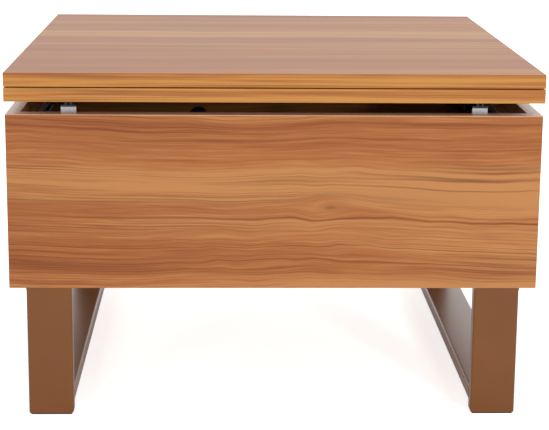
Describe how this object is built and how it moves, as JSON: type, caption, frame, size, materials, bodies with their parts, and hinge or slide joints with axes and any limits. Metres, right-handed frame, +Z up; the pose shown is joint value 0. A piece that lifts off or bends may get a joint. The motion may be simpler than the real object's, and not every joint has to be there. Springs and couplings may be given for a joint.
{
  "type": "lift top coffee table",
  "caption": "Square wood-laminate storage coffee table on steel sled legs; the top lifts forward on a linkage and its upper leaf folds out behind.",
  "frame": {"origin": "on the floor, under the middle of the table", "axes": "+Z up, +X to the right, +Y to the back; the front of the table faces -Y"},
  "size_m": [0.7, 0.7, 0.4655],
  "materials": {
    "wood_laminate": "satin walnut-coloured laminate with long horizontal grain",
    "edge_banding": "satin wood-print edging",
    "beech": "raw",
    "brown_powder_coat": "satin powder coat",
    "dark_steel": "satin dark paint",
    "zinc_steel": "bright zinc",
    "spring_steel": "oiled",
    "nylon": "plain",
    "black_plastic": "fine texture",
    "black_rubber": "matte"
  },
  "bodies": {
    "base": {"front_panel": "wood_laminate", "back_panel": "wood_laminate", "right_side_panel": "wood_laminate", "left_side_panel": "wood_laminate", "bottom_panel": "wood_laminate", "wood_dowels": "beech", "cam_bolts": "zinc_steel", "cam_locks": "zinc_steel", "box_rim_bands": "edge_banding", "right_front_post": "brown_powder_coat", "left_front_post": "brown_powder_coat", "right_rear_post": "brown_powder_coat", "left_rear_post": "brown_powder_coat", "right_floor_rail": "brown_powder_coat", "left_floor_rail": "brown_powder_coat", "right_leg_plate": "brown_powder_coat", "left_leg_plate": "brown_powder_coat", "leg_screws": "zinc_steel", "foot_caps": "black_plastic", "right_front_support": "zinc_steel", "left_front_support": "zinc_steel", "right_support_pad": "black_rubber", "left_support_pad": "black_rubber", "support_screws": "zinc_steel", "back_buffer": "black_rubber", "right_base_bracket": "dark_steel", "left_base_bracket": "dark_steel", "base_bracket_screws": "zinc_steel", "front_base_pins": "zinc_steel", "rear_base_pins": "zinc_steel", "base_pivot_washers": "zinc_steel"},
    "front_arms": {"right_front_arm": "dark_steel", "left_front_arm": "dark_steel", "front_arm_bushes": "nylon", "cross_tube": "dark_steel", "right_lift_spring": "spring_steel", "left_lift_spring": "spring_steel"},
    "right_rear_link": {"right_rear_arm": "dark_steel", "right_rear_arm_bushes": "nylon"},
    "left_rear_link": {"left_rear_arm": "dark_steel", "left_rear_arm_bushes": "nylon"},
    "top_carriage": {"lower_leaf": "wood_laminate", "lower_leaf_bands": "edge_banding", "right_top_bracket": "dark_steel", "left_top_bracket": "dark_steel", "top_bracket_screws": "zinc_steel", "top_pivot_pins": "zinc_steel", "top_pivot_washers": "zinc_steel", "lower_hinge_plates": "zinc_steel", "lower_hinge_screws": "zinc_steel", "hinge_pins": "zinc_steel"},
    "folding_leaf": {"upper_leaf": "wood_laminate", "upper_leaf_bands": "edge_banding", "upper_hinge_plates": "zinc_steel", "upper_hinge_screws": "zinc_steel", "leaf_bumpers": "black_rubber"}
  },
  "joints": [
    {"name": "lift", "type": "hinge", "parent": "base", "child": "front_arms", "pos_m": [0, -0.18, 0.354], "axis": [1, 0, 0], "range_deg": [0, 90]},
    {"name": "right_rear_swing", "type": "hinge", "parent": "base", "child": "right_rear_link", "pos_m": [0, 0, 0.314], "axis": [1, 0, 0], "range_deg": [0, 90]},
    {"name": "left_rear_swing", "type": "hinge", "parent": "base", "child": "left_rear_link", "pos_m": [0, 0, 0.314], "axis": [1, 0, 0], "range_deg": [0, 90]},
    {"name": "top_level", "type": "hinge", "parent": "front_arms", "child": "top_carriage", "pos_m": [0, 0.12, 0.354], "axis": [-1, 0, 0], "range_deg": [0, 90]},
    {"name": "leaf_fold", "type": "hinge", "parent": "top_carriage", "child": "folding_leaf", "pos_m": [0, 0.347, 0.44675], "axis": [-1, 0, 0], "range_deg": [0, 180]}
  ],
  "couplings": [
    {"joint": "right_rear_swing", "follows": "lift", "ratio": 1},
    {"joint": "left_rear_swing", "follows": "lift", "ratio": 1},
    {"joint": "top_level", "follows": "lift", "ratio": 1}
  ]
}
